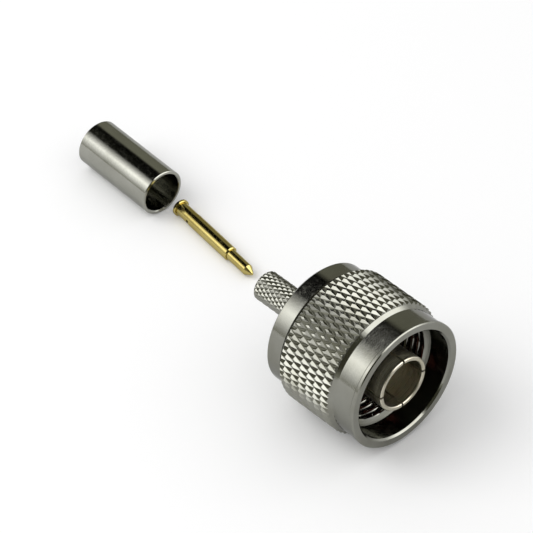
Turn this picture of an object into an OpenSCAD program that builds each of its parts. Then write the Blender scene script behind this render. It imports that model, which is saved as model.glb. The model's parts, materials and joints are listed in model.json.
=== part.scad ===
// Coaxial plug of the N type for crimping onto a thin coaxial cable, as a kit of three loose
// pieces lying on one surface: the plug body with its coupling nut, the centre pin and the
// crimp ferrule. Millimetres, +Z up, +X out of the plug's mating face.

/* [Coupling nut] */
// Diameter over the knurl's peaks
nut_knurl_d = 20; // [19:0.1:22]
// Overall length of the nut
nut_len = 16.8; // [16:0.1:20]
// Diameter of the smooth band behind the front rim
front_band_d = 18.8; // [18.4:0.1:19.2]
// Distance from the front face to the back of the smooth front band
front_band_len = 3.75; // [3:0.05:4.5]
// Diameter of the front rim
rim_d = 19.1; // [18.8:0.1:19.6]
// Length of the front rim
rim_len = 0.55; // [0.4:0.05:1]
// Edge break on the outside of the front rim
rim_edge = 0.14; // [0.05:0.01:0.2]
// Diameter of the smooth back band
back_band_d = 18.2; // [17.6:0.1:18.9]
// Length of the smooth back band
back_band_len = 2.65; // [2:0.05:3.5]
// Edge break at the back of the nut
back_band_edge = 0.25; // [0.1:0.05:0.5]
// Diameter of the smooth mouth in front of the thread
mouth_d = 16.4; // [16.1:0.1:16.8]
// Depth of the smooth mouth
mouth_depth = 3.5; // [2.5:0.1:4.5]
// Bevel at the mouth's front edge
mouth_bevel = 0.25; // [0.1:0.05:0.4]
// Major diameter of the internal thread, 5/8-24
thread_major_d = 15.88; // [15.8:0.02:16]
// Length of the threaded stretch
thread_len = 5.6; // [4.5:0.1:6]
// Diameter of the relief behind the thread
relief_d = 16.1; // [16:0.05:16.4]
// Length of the solid back wall round the hub
back_wall_len = 4.2; // [3.8:0.1:4.6]

/* [Nut knurl] */
// Depth of the knurl's grooves
nut_knurl_depth = 0.29; // [0.2:0.01:0.34]
// Number of grooves of each hand round the nut
nut_knurl_starts = 62; // [48:1:72]
// Length of one diamond along the axis
nut_knurl_cell = 2.78; // [2:0.02:4]
// Length of the flat on top of each diamond
nut_knurl_flat = 0.8; // [0.3:0.05:1.2]
// Distance from the front band to the middle of the first row of diamonds
nut_knurl_lead = 0.53; // [0:0.01:1.3]
// Turn of the knurl's pattern round the axis
nut_knurl_turn = -0.15; // [-3:0.05:3]
// Length of the slope from the front band up to the bottom of the grooves
knurl_front_slope = 0.58; // [0.3:0.02:0.8]
// Length of the steep front end of the diamonds
knurl_front_bevel = 0.13; // [0.05:0.01:0.4]
// Length of the bevel at the knurl's back end
knurl_back_bevel = 0.95; // [0.3:0.05:1.2]

/* [Plug body] */
// Diameter of the flange inside the nut
flange_d = 14.4; // [13.6:0.1:14.6]
// Thickness of the flange
flange_len = 1.3; // [1:0.1:1.8]
// Diameter of the hub that the nut turns on
hub_d = 12.2; // [11.8:0.1:12.8]
// How far the hub stands out behind the nut
hub_stand_out = 1; // [0.5:0.1:2]
// Edge break at the back of the hub
hub_edge = 0.4; // [0.2:0.1:0.6]
// Depth of the bore that holds the insulator's tail, behind the outer contact's seat
insulator_seat_len = 3.8; // [3:0.1:4]

/* [Crimp stem] */
// Diameter over the knurl's peaks
stem_knurl_d = 4.4; // [4.1:0.1:4.8]
// Length of the stem behind the hub
stem_len = 9; // [7:0.2:12]
// Bore for the cable's dielectric
stem_bore_d = 3; // [2.8:0.05:3.1]
// Depth of the stem's knurl
stem_knurl_depth = 0.11; // [0.08:0.01:0.16]
// Number of grooves of each hand round the stem
stem_knurl_starts = 20; // [16:1:28]
// Length of one diamond along the stem
stem_knurl_cell = 1.22; // [1:0.01:1.6]
// Length of the flat on top of each of the stem's diamonds
stem_knurl_flat = 0.3; // [0.1:0.05:0.5]
// Distance from the stem's end to the middle of a row of diamonds
stem_knurl_lead = 0.36; // [0:0.02:0.6]
// Turn of the stem's knurl round the axis
stem_knurl_turn = 4.5; // [-9:0.5:9]
// Length of the bevel at the stem's end
stem_bevel = 0.25; // [0.1:0.05:0.5]

/* [Outer contact] */
// Diameter of the spring fingers at their tip
contact_tip_d = 8.2; // [8:0.05:8.3]
// Diameter of the spring fingers behind the tip
contact_d = 8; // [7.9:0.05:8.1]
// Length of the thicker tip
contact_tip_len = 1.4; // [1:0.1:2]
// Bore of the outer contact
contact_bore_d = 7; // [6.9:0.05:7.1]
// How far the contact's tip sits behind the nut's front face
contact_recess = 0.35; // [0.2:0.05:1]
// Bevel inside and outside the contact's tip
contact_bevel = 0.11; // [0.05:0.01:0.15]
// Width of the slots between the spring fingers
contact_slot_w = 0.3; // [0.2:0.05:0.4]
// Depth of the slots
contact_slot_len = 7; // [5:0.1:8]
// Number of spring fingers
contact_fingers = 4; // [4:2:6]
// Diameter of the collar that seats on the flange
collar_d = 10.8; // [10:0.1:11.2]
// Thickness of the collar
collar_len = 0.6; // [0.4:0.1:0.8]
// Diameter of the spigot pressed into the body
spigot_d = 9.2; // [9:0.1:9.6]
// Length of the spigot
spigot_len = 2.5; // [2:0.1:2.8]

/* [Insulator] */
// Diameter of the bore round the insulator, in the contact and in the body
insulator_bore_d = 7.6; // [7.4:0.1:7.8]
// How far the insulator's front face stands in front of the flange
insulator_reach = 1.9; // [1:0.1:3]

/* [Gasket] */
// Outer diameter of the gasket
gasket_d = 14.2; // [13.6:0.1:14.6]
// Thickness of the gasket
gasket_len = 1.4; // [1:0.1:1.8]

/* [Retaining ring] */
// Radial width of the split ring
ring_wall = 1.23; // [1:0.01:1.4]
// Thickness of the ring along the axis
ring_len = 0.8; // [0.6:0.05:0.9]
// Depth of the groove in the hub that holds the ring
ring_groove_depth = 0.6; // [0.4:0.05:0.9]
// Width of the ring's split
ring_split = 1.2; // [0.6:0.1:2]
// Distance from the back of the flange to the ring
ring_set_back = 2.1; // [1.9:0.05:2.3]

/* [Centre pin] */
// Overall length of the pin
pin_len = 17.1; // [16:0.1:19]
// Diameter of the pin's tip
pin_tip_d = 1.6; // [1.5:0.02:1.68]
// Length of the tip in front of the shaft's shoulder
pin_tip_len = 5; // [4:0.1:6]
// Length of the cone at the tip's end
pin_cone_len = 1.1; // [0.8:0.1:1.4]
// Diameter of the small flat at the cone's end
pin_nose_d = 0.4; // [0.2:0.05:0.6]
// Diameter of the pin's shaft
pin_shaft_d = 2.1; // [2:0.02:2.3]
// Edge break at the shaft's shoulder
pin_shoulder_edge = 0.12; // [0.05:0.01:0.2]
// Diameter of the crimp barrel behind the shaft
pin_barrel_d = 2; // [1.8:0.02:2.1]
// Length of the crimp barrel, collar and all
pin_barrel_len = 3.5; // [3.2:0.1:5]
// Diameter of the collar round the barrel's mouth
pin_collar_d = 2.56; // [2.3:0.02:2.8]
// Length of the collar
pin_collar_len = 0.5; // [0.3:0.05:0.8]
// Bore for the cable's centre wire
pin_bore_d = 1.1; // [0.9:0.05:1.2]
// Depth of the bore
pin_bore_len = 3.6; // [3:0.1:4]
// Bevel at the bore's mouth
pin_bore_bevel = 0.35; // [0.1:0.05:0.4]
// Diameter of the inspection hole in the barrel
pin_hole_d = 0.45; // [0.3:0.05:0.6]
// Distance from the pin's back end to the inspection hole
pin_hole_at = 3.1; // [2.6:0.1:3.2]

/* [Crimp ferrule] */
// Outer diameter of the ferrule
ferrule_d = 6.9; // [6.3:0.1:7.2]
// Bore of the ferrule
ferrule_bore_d = 5.9; // [5.2:0.1:6]
// Length of the ferrule
ferrule_len = 14.4; // [11:0.1:16]
// Edge break at the ferrule's ends
ferrule_edge = 0.1; // [0.05:0.05:0.2]

/* [Fits] */
// Radial running clearance between the nut and the hub
running_clearance = 0.08; // [0.03:0.01:0.1]
// Radial gap left in a pressed joint
press_clearance = 0.02; // [0.01:0.01:0.03]
// Gap between the gasket and the collar inside it
gasket_clearance = 0.05; // [0.02:0.01:0.2]
// End play of the nut along the hub, each way
nut_end_play = 0.4; // [0.3:0.05:0.5]
// Radial gap round the retaining ring in the nut's groove
ring_clearance = 0.15; // [0.1:0.05:0.2]

/* [Layout] */
// Free distance along the axis from the stem's end to the pin's point
pin_gap = 10; // [6:0.5:16]
// Sideways place of the pin's point
pin_side = 7; // [0:0.1:12]
// Heading of the pin, turned from the plug's axis
pin_heading = -6.5; // [-15:0.5:10]
// Distance along the axis from the pin's back end to the ferrule's front face
ferrule_gap = 2; // [1.5:0.1:10]
// Sideways place of the ferrule's front face
ferrule_side = 7.5; // [0:0.1:14]
// Heading of the ferrule, turned from the plug's axis
ferrule_heading = -2.5; // [-15:0.5:10]

/* [Hidden] */

$fn = 96;
slit = 0.01;          // cutters reach this far past the faces that they open
ledge = 0.05;         // step left where a knurl meets a plain band
knurl_bury = 0.14;    // how far a knurl's end runs on inside the metal beside it
over = 0.1;           // how far a cutter stands clear of the surface that it leaves whole

// Stations along the plug's axis, counted from the nut's front face, negative to the back.
nut_back = -nut_len;
hub_back = nut_back - hub_stand_out;
stem_back = hub_back - stem_len;
nut_shoulder = nut_back + back_wall_len;
flange_back = nut_shoulder + nut_end_play;
flange_front = flange_back + flange_len;
ring_front = flange_back - ring_set_back;
ring_back = ring_front - ring_len;
ring_groove_front = ring_front + nut_end_play;
ring_groove_back = ring_back - nut_end_play;
thread_back = -mouth_depth - thread_len;
contact_front = -contact_recess;
spigot_back = flange_front - spigot_len;
insulator_front = flange_front + insulator_reach;
insulator_back = spigot_back - insulator_seat_len;
back_band_front = nut_back + back_band_len;
knurl_front = -front_band_len - knurl_front_slope;
knurl_back = back_band_front + knurl_back_bevel;
hub_bore_d = hub_d + 2 * running_clearance;
ring_seat_r = hub_d / 2 - ring_groove_depth;
ring_r = ring_seat_r + press_clearance + ring_wall;
nut_core_d = front_band_d - 1;
stem_core_r = stem_knurl_d / 2 - stem_knurl_depth - over;

// Places of the two loose pieces, in the plug's own frame.
pin_tilt = asin((pin_collar_d - pin_shaft_d) / 2 / (pin_len - pin_tip_len - pin_collar_len / 2));
pin_front = [stem_back - pin_gap, pin_side];
pin_end = pin_front - pin_len * [cos(pin_heading), sin(pin_heading)];
ferrule_front = [pin_end[0] - ferrule_gap, ferrule_side];
ferrule_end = ferrule_front - ferrule_len * [cos(ferrule_heading), sin(ferrule_heading)];

// Footprint of the whole kit, whose middle is the origin.
ferrule_half_y = ferrule_d / 2 * cos(ferrule_heading);
ferrule_half_x = (ferrule_d / 2 - ferrule_edge) * abs(sin(ferrule_heading));
low_x = ferrule_end[0] - ferrule_half_x;
low_y = min(-nut_knurl_d / 2, ferrule_front[1] - ferrule_half_y, ferrule_end[1] - ferrule_half_y);
high_y = max(nut_knurl_d / 2, ferrule_front[1] + ferrule_half_y, ferrule_end[1] + ferrule_half_y);
middle = [low_x / 2, (low_y + high_y) / 2, 0];

// Puts a shape drawn along +Z, with its face at z = 0, onto the plug's axis.
module on_plug_axis() {
    translate([0, 0, nut_knurl_d / 2] - middle)
        rotate([0, 90, 0]) children();
}

// Ring whose outside is a net of flat-topped diamonds, between two crossing sets of helical
// grooves. first is the station of one row of diamonds. The rows stand half a diamond's length
// apart, and every second row is turned by half a diamond's width. The ring is longer than
// front and back ask for, and is cut to length and bevelled where it is used.
module knurl_ring(front, back, first, peak_r, depth, flat, starts, cell, bore_r) {
    row_gap = cell / 2;
    rows_ahead = ceil((front - first) / row_gap) + 1;
    top = first + rows_ahead * row_gap;
    last = ceil((top - back) / row_gap) + 1;
    width = 180 / starts;
    root_r = peak_r - depth;
    half = flat / 2;
    side = width * flat / cell;
    function odd(j) = (j + rows_ahead) % 2;
    function place(r, a, x) = [r * cos(a), r * sin(a), x];
    // Every row has the crossings of the grooves, and all but the end rows have diamonds.
    function cross(j, m) = (j == 0 ? 0 : (5 * j - 4) * starts) + (m + starts) % starts;
    function flat_corner(j, m, k) = (5 * j - 3) * starts + 4 * m + k;
    outside = [for (j = [0 : last]) let (x = top - j * row_gap) each concat(
        [for (m = [0 : starts - 1]) place(root_r, (2 * m + 1 - odd(j)) * width, x)],
        j == 0 || j == last ? [] : [for (m = [0 : starts - 1]) let (a = (2 * m + odd(j)) * width)
            each [place(peak_r, a, x + half), place(peak_r, a + side, x),
                  place(peak_r, a, x - half), place(peak_r, a - side, x)]])];
    bore = [for (x = [top, top - last * row_gap], m = [0 : starts - 1])
        place(bore_r, (2 * m + odd(1)) * width, x)];
    bore_front = len(outside);
    bore_back = bore_front + starts;
    diamonds = [for (j = [1 : last - 1], m = [0 : starts - 1])
        let (corner = [for (k = [0 : 3]) flat_corner(j, m, k)],
             around = [cross(j - 1, m), cross(j, m + odd(j)), cross(j + 1, m),
                       cross(j, m + odd(j) - 1)])
        each concat([[corner[0], corner[1], corner[2]], [corner[0], corner[2], corner[3]]],
            [for (k = [0 : 3]) let (k2 = (k + 1) % 4)
                each [[around[k], around[k2], corner[k2]], [around[k], corner[k2], corner[k]]]])];
    ends = [for (m = [0 : starts - 1]) let (m2 = (m + 1) % starts) each [
        [cross(0, m), cross(0, m + 1), cross(1, m + odd(1))],
        [cross(last, m), cross(last - 1, m + odd(last - 1)), cross(last, m + 1)],
        [cross(0, m + 1), cross(0, m), bore_front + m, bore_front + m2],
        [cross(last, m), cross(last, m + 1), bore_back + m2, bore_back + m],
        [bore_front + m2, bore_front + m, bore_back + m, bore_back + m2]]];
    polyhedron(points = concat(outside, bore), faces = concat(diamonds, ends), convexity = 4);
}

module nut_shell() {
    r_core = nut_core_d / 2;
    rim_r = rim_d / 2;
    band_r = front_band_d / 2;
    back_r = back_band_d / 2;
    mouth_r = mouth_d / 2;
    thread_r = thread_major_d / 2;
    relief_r = relief_d / 2;
    bore_r = hub_bore_d / 2;
    groove_r = ring_r + ring_clearance;
    rotate_extrude() polygon([
        [mouth_r + mouth_bevel, 0], [rim_r - rim_edge, 0], [rim_r, -rim_edge], [rim_r, -rim_len],
        [band_r, -rim_len - (rim_r - band_r)], [band_r, -front_band_len], [r_core, -front_band_len],
        [r_core, back_band_front], [back_r, back_band_front], [back_r, nut_back + back_band_edge],
        [back_r - back_band_edge, nut_back], [bore_r, nut_back], [bore_r, ring_groove_back],
        [groove_r, ring_groove_back], [groove_r, ring_groove_front], [bore_r, ring_groove_front],
        [bore_r, nut_shoulder], [relief_r, nut_shoulder], [relief_r, thread_back],
        [thread_r, thread_back], [thread_r, -mouth_depth - (mouth_r - thread_r)],
        [mouth_r, -mouth_depth], [mouth_r, -mouth_bevel]]);
}

// The nut's knurl, between the slope behind the front band and the bevel at the back.
module nut_knurl() {
    peak_r = nut_knurl_d / 2;
    inner_r = nut_core_d / 2 - 3 * over;
    band_edge_r = front_band_d / 2 - ledge;
    back_edge_r = back_band_d / 2 - ledge;
    front_run = knurl_front_bevel * (1 + over / nut_knurl_depth);
    back_run = knurl_back_bevel * (1 + over / (peak_r - back_edge_r));
    intersection() {
        rotate([0, 0, nut_knurl_turn]) knurl_ring(knurl_front, back_band_front + knurl_back_bevel / 2,
            -front_band_len - nut_knurl_lead, peak_r, nut_knurl_depth, nut_knurl_flat,
            nut_knurl_starts, nut_knurl_cell, inner_r - over);
        rotate_extrude() polygon([
            [inner_r, knurl_bury - front_band_len], [band_edge_r - ledge, knurl_bury - front_band_len],
            [band_edge_r, -front_band_len - slit], [peak_r - nut_knurl_depth - slit, knurl_front],
            [peak_r + over, knurl_front - front_run], [peak_r + over, back_band_front + back_run],
            [back_edge_r, back_band_front + slit], [back_edge_r - ledge, back_band_front - knurl_bury],
            [inner_r, back_band_front - knurl_bury]]);
    }
}

// Nickel-plated nut, with its knurl round the outside.
module coupling_nut() {
    color([0.62, 0.61, 0.56]) on_plug_axis() union() {
        nut_shell();
        nut_knurl();
    }
}

// The crimp stem's knurl, which runs on into the hub.
module stem_knurl() {
    peak_r = stem_knurl_d / 2;
    inner_r = (stem_core_r + stem_bore_d / 2) / 2;
    hub_end = hub_back + knurl_bury;
    stem_end = stem_back + ledge;
    intersection() {
        rotate([0, 0, stem_knurl_turn]) knurl_ring(hub_end, stem_end, stem_back + stem_knurl_lead,
            peak_r, stem_knurl_depth, stem_knurl_flat, stem_knurl_starts, stem_knurl_cell,
            inner_r - ledge);
        rotate_extrude() polygon([
            [inner_r, hub_end], [peak_r + over, hub_end], [peak_r + over, stem_end + stem_bevel],
            [stem_core_r + ledge, stem_end], [inner_r, stem_end]]);
    }
}

// Turned body: flange inside the nut, hub that carries the nut, and the stem for the crimp.
module plug_body() {
    seat_r = spigot_d / 2 + press_clearance;
    bead_r = insulator_bore_d / 2;
    hub_r = hub_d / 2;
    color([0.6, 0.59, 0.54]) on_plug_axis() union() {
        rotate_extrude() polygon([
            [seat_r, flange_front], [flange_d / 2, flange_front], [flange_d / 2, flange_back],
            [hub_r, flange_back], [hub_r, ring_front], [ring_seat_r, ring_front],
            [ring_seat_r, ring_back], [hub_r, ring_back], [hub_r, hub_back + hub_edge],
            [hub_r - hub_edge, hub_back], [stem_core_r, hub_back], [stem_core_r, stem_back],
            [stem_bore_d / 2, stem_back], [stem_bore_d / 2, insulator_back],
            [bead_r, insulator_back], [bead_r, spigot_back], [seat_r, spigot_back]]);
        stem_knurl();
    }
}

// Spring fingers that make the outer contact, on a collar and a pressed spigot.
module outer_contact() {
    tip_r = contact_tip_d / 2;
    finger_r = contact_d / 2;
    bore_r = contact_bore_d / 2;
    bead_r = insulator_bore_d / 2;
    collar_front = flange_front + collar_len;
    color([0.55, 0.53, 0.47]) on_plug_axis() difference() {
        rotate_extrude() polygon([
            [bore_r + contact_bevel, contact_front], [tip_r - contact_bevel, contact_front],
            [tip_r, contact_front - contact_bevel], [tip_r, contact_front - contact_tip_len],
            [finger_r, contact_front - contact_tip_len - (tip_r - finger_r)],
            [finger_r, collar_front], [collar_d / 2, collar_front], [collar_d / 2, flange_front],
            [spigot_d / 2, flange_front], [spigot_d / 2, spigot_back], [bead_r, spigot_back],
            [bead_r, insulator_front], [bore_r, insulator_front],
            [bore_r, contact_front - contact_bevel]]);
        for (k = [0 : contact_fingers / 2 - 1])
            rotate([0, 0, k * 360 / contact_fingers])
                translate([-contact_tip_d, -contact_slot_w / 2, contact_front - contact_slot_len])
                    cube([2 * contact_tip_d, contact_slot_w, contact_slot_len + 1]);
    }
}

// Plastic bead that will hold the centre pin on the axis.
module insulator() {
    bead_r = insulator_bore_d / 2 - press_clearance;
    hole_r = pin_shaft_d / 2 + press_clearance;
    color([0.93, 0.93, 0.9]) on_plug_axis() rotate_extrude() polygon([
        [hole_r, insulator_front], [bead_r, insulator_front],
        [bead_r, insulator_back], [hole_r, insulator_back]]);
}

// Soft sealing ring on the flange's face.
module gasket() {
    color([0.55, 0.16, 0.1]) on_plug_axis() translate([0, 0, flange_front]) difference() {
        cylinder(d = gasket_d, h = gasket_len);
        translate([0, 0, -1]) cylinder(d = collar_d + 2 * gasket_clearance, h = gasket_len + 2);
    }
}

// Split spring ring, seated in the hub's groove, that keeps the nut on.
module retaining_ring() {
    color([0.5, 0.5, 0.47]) on_plug_axis() translate([0, 0, ring_back]) difference() {
        cylinder(r = ring_r, h = ring_len);
        translate([0, 0, -1]) cylinder(r = ring_seat_r + press_clearance, h = ring_len + 2);
        translate([-2 * ring_r, -ring_split / 2, -1])
            cube([2 * ring_r, ring_split, ring_len + 2]);
    }
}

// Gold-plated pin, lying on its back collar and on the edge of its shaft.
module centre_pin() {
    shaft_front = pin_len - pin_tip_len;
    shaft_r = pin_shaft_d / 2;
    barrel_r = pin_barrel_d / 2;
    tip_r = pin_tip_d / 2;
    collar_r = pin_collar_d / 2;
    bore_r = pin_bore_d / 2;
    mouth_r = bore_r + pin_bore_bevel;
    drill_point = bore_r / 2;
    collar_edge = pin_collar_len / 5;
    rise = collar_r * cos(pin_tilt) + pin_collar_len / 2 * sin(pin_tilt);
    color([0.8, 0.68, 0.36])
        translate([pin_end[0], pin_end[1], rise] - middle)
            rotate([0, 0, pin_heading]) rotate([0, 90 + pin_tilt, 0]) difference() {
                rotate_extrude() polygon([
                    [0, pin_bore_len + drill_point], [bore_r, pin_bore_len],
                    [bore_r, pin_bore_bevel], [mouth_r, 0], [collar_r - collar_edge, 0],
                    [collar_r, collar_edge], [collar_r, pin_collar_len - collar_edge],
                    [collar_r - collar_edge, pin_collar_len], [barrel_r, pin_collar_len],
                    [barrel_r, pin_barrel_len], [shaft_r, pin_barrel_len + (shaft_r - barrel_r)],
                    [shaft_r, shaft_front - pin_shoulder_edge],
                    [shaft_r - pin_shoulder_edge, shaft_front], [tip_r, shaft_front],
                    [tip_r, pin_len - pin_cone_len], [pin_nose_d / 2, pin_len], [0, pin_len]]);
                translate([0, 0, pin_hole_at]) rotate([90, 0, 0])
                    cylinder(d = pin_hole_d, h = pin_barrel_d);
            }
}

// Plain tube that is crimped over the cable's braid on the stem.
module crimp_ferrule() {
    r = ferrule_d / 2;
    bore_r = ferrule_bore_d / 2;
    color([0.62, 0.61, 0.56])
        translate([ferrule_end[0], ferrule_end[1], r] - middle)
            rotate([0, 0, ferrule_heading]) rotate([0, 90, 0]) rotate_extrude() polygon([
                [bore_r, ferrule_edge], [bore_r + ferrule_edge, 0], [r - ferrule_edge, 0],
                [r, ferrule_edge], [r, ferrule_len - ferrule_edge], [r - ferrule_edge, ferrule_len],
                [bore_r + ferrule_edge, ferrule_len], [bore_r, ferrule_len - ferrule_edge]]);
}

coupling_nut();
plug_body();
outer_contact();
insulator();
gasket();
retaining_ring();
centre_pin();
crimp_ferrule();
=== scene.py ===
"""Looks for the N type crimp plug kit: materials, the nut's thread, the studio and the camera."""

import json
import math

import bmesh
import bpy
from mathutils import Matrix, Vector


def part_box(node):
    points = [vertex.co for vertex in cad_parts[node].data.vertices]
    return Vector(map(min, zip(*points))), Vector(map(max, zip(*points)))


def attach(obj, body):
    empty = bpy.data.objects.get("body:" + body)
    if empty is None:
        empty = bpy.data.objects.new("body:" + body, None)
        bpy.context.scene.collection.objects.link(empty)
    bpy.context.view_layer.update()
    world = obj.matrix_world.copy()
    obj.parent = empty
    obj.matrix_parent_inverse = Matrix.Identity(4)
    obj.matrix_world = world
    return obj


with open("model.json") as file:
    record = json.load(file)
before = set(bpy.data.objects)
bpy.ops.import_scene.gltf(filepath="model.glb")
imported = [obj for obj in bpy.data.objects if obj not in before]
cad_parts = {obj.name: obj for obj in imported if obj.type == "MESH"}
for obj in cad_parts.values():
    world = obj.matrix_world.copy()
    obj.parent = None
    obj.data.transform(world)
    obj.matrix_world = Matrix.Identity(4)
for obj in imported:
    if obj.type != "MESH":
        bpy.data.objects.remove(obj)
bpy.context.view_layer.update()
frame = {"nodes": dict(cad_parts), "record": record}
nodes = frame["nodes"]
MM = 0.001
MICRON = 1e-6

# ---------------------------------------------------------------- places, read off the CAD
nut_lo, nut_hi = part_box("coupling_nut")
axis_y = (nut_lo.y + nut_hi.y) / 2
axis_z = (nut_lo.z + nut_hi.z) / 2
front_x = nut_hi.x
plug_axis = Vector((front_x, axis_y, axis_z))
mounts = {m["name"]: m for m in frame["record"]["mounts"]}


def mount_place(name):
    """(a point on a mount's axis, the direction out of it in the floor's plane, in radians)."""
    place, out = Vector(mounts[name]["pos_m"]), mounts[name]["axis"]
    return place, math.atan2(out[1], out[0])


# ---------------------------------------------------------------- shader helpers
class Nodes:
    """A short way to add shader nodes to one material or world."""

    def __init__(self, tree):
        self.tree = tree

    def add(self, kind, inputs=None, **settings):
        node = self.tree.nodes.new("ShaderNode" + kind)
        for key, value in settings.items():
            setattr(node, key, value)
        for key, value in (inputs or {}).items():
            self.put(node.inputs[key], value)
        return node

    def put(self, socket, value):
        if isinstance(value, bpy.types.NodeSocket):
            self.tree.links.new(value, socket)
        elif isinstance(value, bpy.types.Node):
            self.tree.links.new(value.outputs[0], socket)
        else:
            socket.default_value = value

    def math(self, operation, a, b=0.0):
        return self.add("Math", {0: a, 1: b}, operation=operation)

    def ramp(self, factor, stops):
        """A colour or a grey level for each of the stops, and even blends between them."""
        node = self.add("ValToRGB", {"Fac": factor})
        ramp = node.color_ramp
        ramp.interpolation = "LINEAR"
        while len(ramp.elements) < len(stops):
            ramp.elements.new(0.5)
        for element, (place, colour) in zip(ramp.elements, stops):
            element.position = place
            element.color = (*colour, 1) if hasattr(colour, "__len__") else (colour,) * 3 + (1,)
        return node


def new_material(name):
    mat = bpy.data.materials.new(name)
    mat.use_nodes = True
    mat.node_tree.nodes.clear()
    n = Nodes(mat.node_tree)
    shader = n.add("BsdfPrincipled")
    n.add("OutputMaterial", {"Surface": shader})
    return mat, n, shader


def turned_metal(name, colour, stain, rough, place, heading, rings=9000.0, ring_depth=1.0,
                 peel=1.0, wear=1.0):
    """Plated metal turned about an axis: rings of tool marks, the plating's fine orange peel,
    faint stains and small scuffs. ring_depth is in micrometres, and a peel of 1 is 5 of them."""
    mat, n, shader = new_material(name)
    coords = n.add("TexCoord").outputs["Object"]
    local = n.add("Mapping", {"Vector": coords, "Location": place, "Rotation": (0, 0, heading)},
                  vector_type="TEXTURE")
    x, y, z = n.add("SeparateXYZ", {"Vector": local}).outputs
    radius = n.math("SQRT", n.math("ADD", n.math("MULTIPLY", y, y), n.math("MULTIPLY", z, z)))
    along = n.math("ADD", x, radius)
    marks = n.add("TexNoise", {"W": along, "Scale": rings, "Detail": 3.0, "Roughness": 0.6},
                  noise_dimensions="1D")
    coarse = n.add("TexNoise", {"W": along, "Scale": rings / 9, "Detail": 2.0},
                   noise_dimensions="1D")
    scuffs = n.add("TexNoise", {"Vector": local, "Scale": 1500.0, "Detail": 5.0,
                                "Roughness": 0.65})
    grains = n.add("TexNoise", {"Vector": local, "Scale": 4200.0, "Detail": 2.0})
    clouds = n.add("TexNoise", {"Vector": local, "Scale": 260.0, "Detail": 3.0})
    n.put(shader.inputs["Base Color"], n.ramp(clouds, [(0.4, colour), (0.75, stain)]))
    shader.inputs["Metallic"].default_value = 1.0
    shader.inputs["Specular Tint"].default_value = (0.6, 0.6, 0.6, 1)
    rough_rings, rough_scuffs = 0.10, 0.12
    scuffed = n.ramp(scuffs, [(0.5, 0.0), (0.75, 1.0)])
    spread = n.math("ADD", n.math("MULTIPLY", marks, rough_rings),
                    n.math("MULTIPLY", scuffed, rough_scuffs * wear))
    n.put(shader.inputs["Roughness"], n.math("ADD", spread, rough - rough_rings / 2))
    turning = n.math("MULTIPLY", n.math("ADD", marks, n.math("MULTIPLY", coarse, 2.0)),
                     ring_depth * MICRON)
    height = n.math("ADD", turning, n.math("MULTIPLY", grains, 5 * peel * MICRON))
    bump = n.add("Bump", {"Height": height, "Strength": 1.0, "Distance": 1.0})
    n.put(shader.inputs["Normal"], bump.outputs["Normal"])
    return mat


def plastic(name, colour, rough, place, grain=2500.0, scatter=0.0):
    """Turned plastic or moulded rubber, with a fine grain."""
    mat, n, shader = new_material(name)
    coords = n.add("TexCoord").outputs["Object"]
    local = n.add("Mapping", {"Vector": coords, "Location": place}, vector_type="TEXTURE")
    grains = n.add("TexNoise", {"Vector": local, "Scale": grain, "Detail": 4.0})
    clouds = n.add("TexNoise", {"Vector": local, "Scale": 300.0, "Detail": 2.0})
    shade = n.ramp(clouds, [(0.3, tuple(c * 0.9 for c in colour)), (0.7, colour)])
    n.put(shader.inputs["Base Color"], shade)
    n.put(shader.inputs["Roughness"],
          n.math("ADD", n.math("MULTIPLY", grains, 0.15), rough - 0.07))
    if scatter:
        shader.inputs["Subsurface Weight"].default_value = scatter
        shader.inputs["Subsurface Scale"].default_value = 0.001
    bump = n.add("Bump", {"Height": grains, "Strength": 0.2, "Distance": 0.00002})
    n.put(shader.inputs["Normal"], bump.outputs["Normal"])
    return mat


def dress(node, material):
    """Gives a CAD node its material in place of the plain one that it came with."""
    mesh = nodes[node].data
    mesh.materials.clear()
    mesh.materials.append(material)


# ---------------------------------------------------------------- materials
# A dull nickel, which reflects the pale floor as a mid grey.
NICKEL = (0.245, 0.245, 0.216)
NICKEL_STAIN = (0.208, 0.206, 0.175)
GOLD = (0.47, 0.39, 0.14)
GOLD_STAIN = (0.39, 0.31, 0.095)

pin_place, pin_turn = mount_place("pin_tip")
ferrule_place, ferrule_turn = mount_place("ferrule_bore")

nickel_nut = turned_metal("nickel_nut", NICKEL, NICKEL_STAIN, 0.11, plug_axis, 0.0)
nickel_body = turned_metal("nickel_body", NICKEL, NICKEL_STAIN, 0.12, plug_axis, 0.0)
# The contact's nickel is browner and about twice as light as the nut's. The extra lightness is
# painted light that brightens it deep inside the nut.
nickel_contact = turned_metal("nickel_contact", (0.50, 0.47, 0.38), (0.45, 0.42, 0.32), 0.28,
                              plug_axis, 0.0, rings=12000.0, ring_depth=0.3, peel=0.1,
                              wear=0.1)
nickel_thread = turned_metal("nickel_thread", NICKEL, NICKEL_STAIN, 0.14, plug_axis, 0.0,
                             rings=14000.0, ring_depth=0.3, peel=0.15, wear=0.3)
# The ferrule's nickel is a lighter copy of the nut's: painted light that makes its highlights and
# sides brighter.
nickel_ferrule = turned_metal("nickel_ferrule", (0.33, 0.33, 0.295), (0.28, 0.28, 0.245), 0.11,
                              ferrule_place, ferrule_turn, rings=11000.0)
gold_pin = turned_metal("gold_pin", GOLD, GOLD_STAIN, 0.12, pin_place, pin_turn,
                        rings=10000.0, ring_depth=1.2, peel=0.5)
ring_steel = turned_metal("ring_steel", (0.55, 0.55, 0.53), (0.45, 0.45, 0.44), 0.3,
                          plug_axis, 0.0)
bead = plastic("bead", (0.86, 0.86, 0.83), 0.35, plug_axis, scatter=0.15)
seal = plastic("seal", (0.22, 0.05, 0.035), 0.55, plug_axis)

dress("coupling_nut", nickel_nut)
dress("plug_body", nickel_body)
dress("outer_contact", nickel_contact)
dress("insulator", bead)
dress("gasket", seal)
dress("retaining_ring", ring_steel)
dress("centre_pin", gold_pin)
dress("crimp_ferrule", nickel_ferrule)

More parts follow.
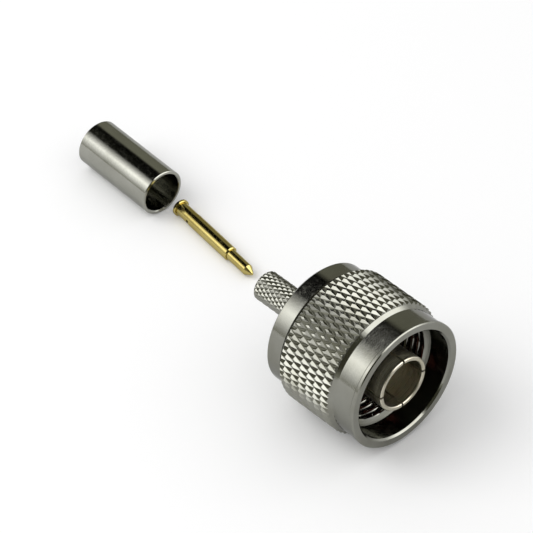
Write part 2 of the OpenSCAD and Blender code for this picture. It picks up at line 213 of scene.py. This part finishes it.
# ---------------------------------------------------------------- the nut's internal thread
MINOR_R, ROOT_R, MOUTH_R = 7.37 * MM, 7.92 * MM, 8.19 * MM
OUTER_R = 8.45 * MM                 # buried in the nut's wall
CREST, FLANK = 0.34, 0.25           # shares of the pitch
PITCH = 25.4 / 24 * MM
THREAD_FRONT, THREAD_BACK = -3.5 * MM, -9.1 * MM
ENTRY = 0.4 * MM                    # length of the bevel at the thread's start
RUN_OUT = 0.32 * MM                 # length of the bevel at its end
START = 0.5                         # where in its first turn the helix begins
STEPS, ROUND = 16, 192              # samples in one pitch and round the bore


def thread_radius(x, phase):
    """Radius of the threaded surface at a station x and a place in the pitch, 0 to 1."""
    away = abs(phase - 0.5) * 2     # 0 in the middle of the crest, 1 in the middle of the root
    if away < CREST:
        r = MINOR_R
    elif away < CREST + 2 * FLANK:
        r = MINOR_R + (ROOT_R - MINOR_R) * (away - CREST) / (2 * FLANK)
    else:
        r = ROOT_R
    entry = MOUTH_R - (MOUTH_R - MINOR_R) * (THREAD_FRONT - x) / ENTRY
    run_out = ROOT_R - (ROOT_R - MINOR_R) * (x - THREAD_BACK) / RUN_OUT
    return max(r, entry, run_out)


def make_thread():
    """The thread as a liner in the nut's plain bore, whose outside is sunk in the wall."""
    turns = int(math.ceil((THREAD_FRONT - THREAD_BACK) / PITCH)) + 3
    verts, faces = [], []
    rows = turns * STEPS
    for i in range(ROUND + 1):
        a = 2 * math.pi * i / ROUND
        for k in range(rows + 1):
            lead = k / STEPS - i / ROUND - START
            x = min(THREAD_FRONT, max(THREAD_BACK, THREAD_FRONT + PITCH - lead * PITCH))
            r = thread_radius(x, lead % 1.0)
            verts.append((front_x + x, axis_y + r * math.sin(a), axis_z + r * math.cos(a)))
        for x in (THREAD_BACK, THREAD_FRONT):
            verts.append((front_x + x, axis_y + OUTER_R * math.sin(a),
                          axis_z + OUTER_R * math.cos(a)))
    wide = rows + 3
    for i in range(ROUND):
        for k in range(wide):
            k2 = (k + 1) % wide
            faces.append((i * wide + k, i * wide + k2, (i + 1) * wide + k2, (i + 1) * wide + k))
    mesh = bpy.data.meshes.new("nut_thread")
    mesh.from_pydata(verts, [], faces)
    mesh.update()
    thread = bpy.data.objects.new("nut_thread", mesh)
    bpy.context.scene.collection.objects.link(thread)
    bm = bmesh.new()
    bm.from_mesh(mesh)
    bmesh.ops.remove_doubles(bm, verts=bm.verts, dist=1e-7)
    bmesh.ops.dissolve_degenerate(bm, edges=bm.edges, dist=1e-7)
    bmesh.ops.recalc_face_normals(bm, faces=bm.faces)
    bm.to_mesh(mesh)
    bm.free()
    mesh.materials.append(nickel_thread)
    for face in mesh.polygons:
        face.use_smooth = True
    mesh.set_sharp_from_angle(angle=math.radians(24))
    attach(thread, "nut")
    return thread


make_thread()

# ---------------------------------------------------------------- studio
scene = bpy.context.scene
scene.view_settings.view_transform = "Standard"


def stage_sheet(name, verts, faces, material):
    mesh = bpy.data.meshes.new(name)
    mesh.from_pydata(verts, [], faces)
    mesh.materials.append(material)
    obj = bpy.data.objects.new(name, mesh)
    scene.collection.objects.link(obj)
    return obj


def make_floor():
    mat = bpy.data.materials.new("pale_floor")
    mat.use_nodes = True
    mat.node_tree.nodes.clear()
    n = Nodes(mat.node_tree)
    shader = n.add("BsdfDiffuse", {"Color": (0.94, 0.94, 0.94, 1)})
    n.add("OutputMaterial", {"Surface": shader})
    half, z = 3.0, -10 * MICRON     # just under the part, so that the two don't coincide
    stage_sheet("floor", [(-half, -half, z), (half, -half, z), (half, half, z), (-half, half, z)],
                [(0, 1, 2, 3)], mat)


# The tent's panels, from far behind the plug to in front of it. Each has its two ends along the
# axis, then pairs of an angle and a brightness, and blends into the next. Angles are counted
# from straight up towards the camera's side (-Y).
PANELS = [
    # a dim wall far behind
    (-1.5, -0.6, [(-180, 0.7), (-90, 0.6), (-30, 0.2), (60, 0.2), (90, 0.5), (180, 0.7)]),
    # a dark gap overhead, with a white strip beside it
    (-0.45, -0.3, [(-180, 0.7), (-90, 0.3), (-40, 0.3), (-30, 0.0), (15, 0.0), (30, 1.0),
                   (50, 3.0), (80, 1.0), (90, 0.5), (180, 0.7)]),
    # the white panel over the plug, dark on the far side
    (-0.2, 0.0, [(-180, 1.0), (-90, 1.0), (-60, 0.1), (-30, 0.1), (0, 2.5), (30, 3.5),
                 (60, 3.5), (90, 1.0), (180, 1.0)]),
    # in front, a white panel on the far side and the dark place where the camera stands
    (0.1, 1.5, [(-180, 1.0), (-80, 1.0), (-60, 3.0), (0, 3.0), (15, 0.1), (75, 0.1),
                (90, 0.5), (180, 1.0)])]


def make_tent():
    """A long round tent about the plug's axis, whose panels the metal reflects."""
    mat = bpy.data.materials.new("tent_panels")
    mat.use_nodes = True
    mat.node_tree.nodes.clear()
    n = Nodes(mat.node_tree)
    x, y, z = n.add("SeparateXYZ", {"Vector": n.add("TexCoord").outputs["Object"]}).outputs
    angle = n.math("ARCTAN2", n.math("MULTIPLY", y, -1.0), z)
    place = n.math("ADD", n.math("DIVIDE", angle, 2 * math.pi), 0.5)

    def panel(stops):
        """Brightness round the axis. The darker a place is, the browner it is."""
        return n.ramp(place, [((a + 180) / 360, (v, v, v * (0.55 + 0.45 * math.sqrt(min(v, 1.0)))))
                              for a, v in stops])

    tone = panel(PANELS[0][2])
    for (_, start, _), (end, _, stops) in zip(PANELS, PANELS[1:]):
        share = n.add("MapRange", {"Value": x, "From Min": start, "From Max": end})
        tone = n.add("MixRGB", {"Fac": share, "Color1": tone, "Color2": panel(stops)})
    light = n.add("Emission", {"Color": tone, "Strength": 1.12})
    n.add("OutputMaterial", {"Surface": light})
    sides, r, half = 96, 0.5, 1.5
    verts, faces = [], []
    for i in range(sides):
        a = 2 * math.pi * i / sides
        for x_end in (-half, half):
            verts.append((x_end, -r * math.sin(a), r * math.cos(a)))
    for i in range(sides):
        j = (i + 1) % sides
        faces.append((2 * i, 2 * i + 1, 2 * j + 1, 2 * j))
    tent = stage_sheet("tent", verts, faces, mat)
    tent.location = plug_axis
    tent.visible_camera = False
    tent.visible_diffuse = False
    tent.visible_shadow = False
    tent.visible_transmission = False


def make_world():
    """An even sky: white where it is seen, also in metal, and a little less as a light."""
    world = bpy.data.worlds.new("studio")
    scene.world = world
    world.use_nodes = True
    world.node_tree.nodes.clear()
    n = Nodes(world.node_tree)
    path = n.add("LightPath")
    seen = n.math("MAXIMUM", path.outputs["Is Camera Ray"],
                  n.math("MAXIMUM", path.outputs["Is Glossy Ray"],
                         path.outputs["Is Transmission Ray"]))
    strength = n.math("ADD", n.math("MULTIPLY", seen, 0.2), 0.8)
    sky = n.add("Background", {"Color": (1, 1, 1, 1), "Strength": strength})
    n.add("OutputWorld", {"Surface": sky})


def make_lamp(name, place, size, power):
    lamp = bpy.data.lights.new(name, "AREA")
    lamp.shape, lamp.size, lamp.energy = "SQUARE", size, power
    obj = bpy.data.objects.new(name, lamp)
    scene.collection.objects.link(obj)
    obj.location = plug_axis + Vector(place)
    obj.rotation_mode = "QUATERNION"
    obj.rotation_quaternion = (-Vector(place)).to_track_quat("-Z", "Y")
    obj.visible_glossy = False
    return obj


make_floor()
make_tent()
make_world()
make_lamp("softbox", (-0.35, -0.45, 0.6), 0.6, 3.0)

# ---------------------------------------------------------------- camera
AZIMUTH, ELEVATION, DISTANCE = math.radians(-46.94), math.radians(42.0), 0.55
forward = Vector((math.sin(AZIMUTH) * math.cos(ELEVATION),
                  math.cos(AZIMUTH) * math.cos(ELEVATION), -math.sin(ELEVATION)))
LOOK_AT = plug_axis + Vector((-29.29, 2.65, 0)) * MM
camera = bpy.data.objects.new("camera", bpy.data.cameras.new("camera"))
scene.collection.objects.link(camera)
camera.data.lens, camera.data.sensor_width = 276.2, 36.0
camera.location = LOOK_AT - forward * DISTANCE
camera.rotation_mode = "QUATERNION"
camera.rotation_quaternion = forward.to_track_quat("-Z", "Y")
camera.data.clip_start, camera.data.clip_end = 0.01, 10.0
scene.camera = camera
